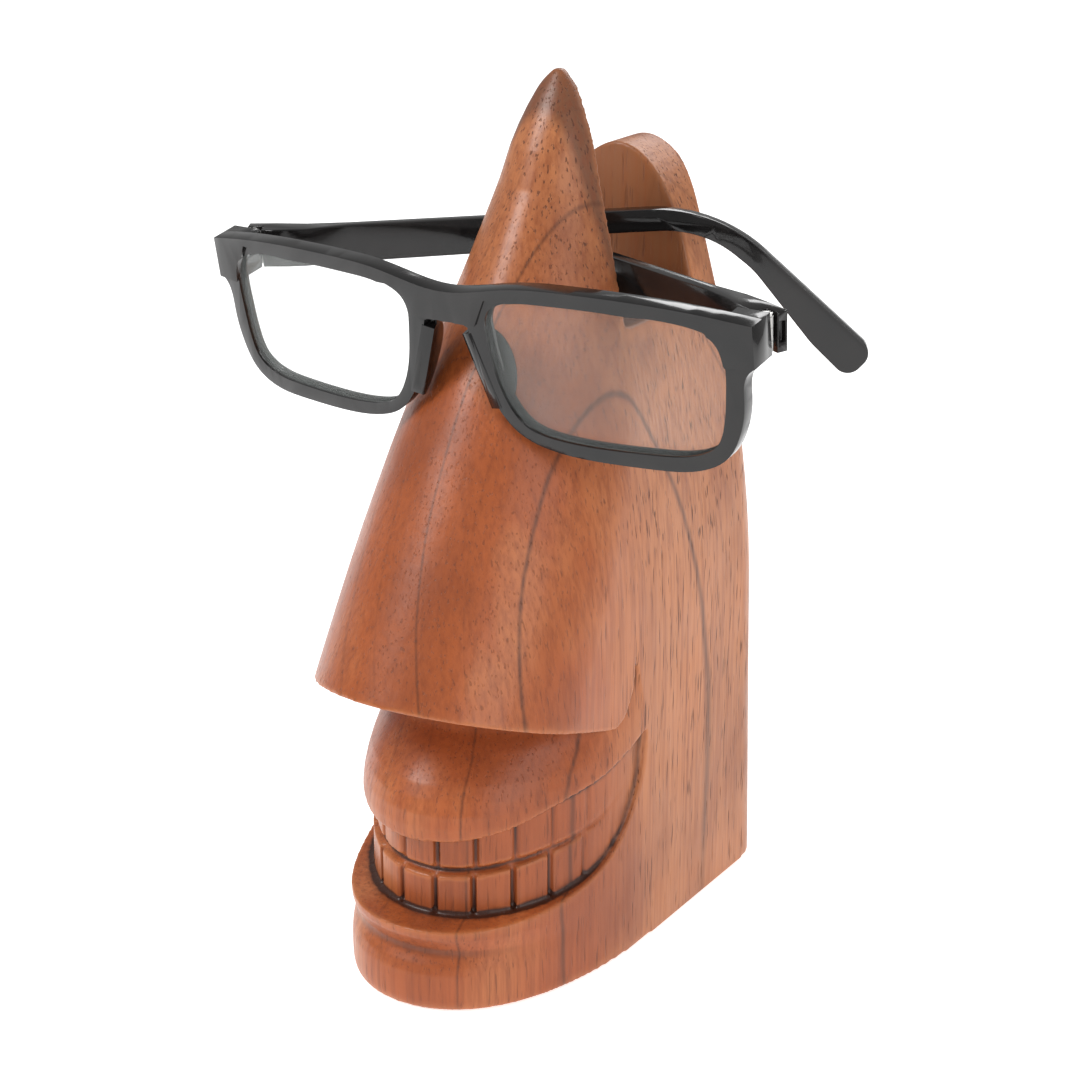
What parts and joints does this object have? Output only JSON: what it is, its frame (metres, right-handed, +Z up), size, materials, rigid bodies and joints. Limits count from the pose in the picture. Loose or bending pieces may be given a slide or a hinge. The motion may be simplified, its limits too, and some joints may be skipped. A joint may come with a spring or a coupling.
{
  "type": "eyeglasses display stand",
  "caption": "Carved wooden nose-and-smile stand that holds a pair of reading spectacles on its nose, with the folded temples in a slot behind.",
  "frame": {"origin": "middle of the flat underside the stand rests on, on its mirror plane, at the height of the table; 57.4 mm behind the front of the chin and 54.5 mm ahead of the back face", "axes": "+Z up; the carved nose and smile face -Y; X runs across, and the carved face's own left side is at +X"},
  "size_m": [0.1365, 0.1193, 0.196],
  "materials": {
    "carved_wood": "hand carved, oiled and polished",
    "black_acetate": "polished",
    "clear_lens": "clear, polished",
    "hinge_steel": "satin",
    "screw_steel": "bright"
  },
  "bodies": {
    "stand": {"carved_block": "carved_wood"},
    "spectacles": {"frame_front": "black_acetate", "lens_left": "clear_lens", "lens_right": "clear_lens", "hinge_front_leaf_left": "hinge_steel", "hinge_front_leaf_right": "hinge_steel"},
    "temple_arm_left": {"temple_left": "black_acetate", "hinge_temple_leaf_left": "hinge_steel", "hinge_screw_left": "screw_steel"},
    "temple_arm_right": {"temple_right": "black_acetate", "hinge_temple_leaf_right": "hinge_steel", "hinge_screw_right": "screw_steel"}
  },
  "joints": [
    {"name": "spectacles_lift", "type": "slide", "parent": "stand", "child": "spectacles", "axis": [0, 0, 1], "range_m": [0, 0.12]},
    {"name": "temple_left_fold", "type": "hinge", "parent": "spectacles", "child": "temple_arm_left", "pos_m": [0.0652, -0.01808, 0.15792], "axis": [0, -0.0645, 0.9979], "range_deg": [-2.2, 0.6]},
    {"name": "temple_right_fold", "type": "hinge", "parent": "spectacles", "child": "temple_arm_right", "pos_m": [-0.0652, -0.01808, 0.15792], "axis": [0, -0.0645, 0.9979], "range_deg": [-1.6, 1.6]}
  ]
}
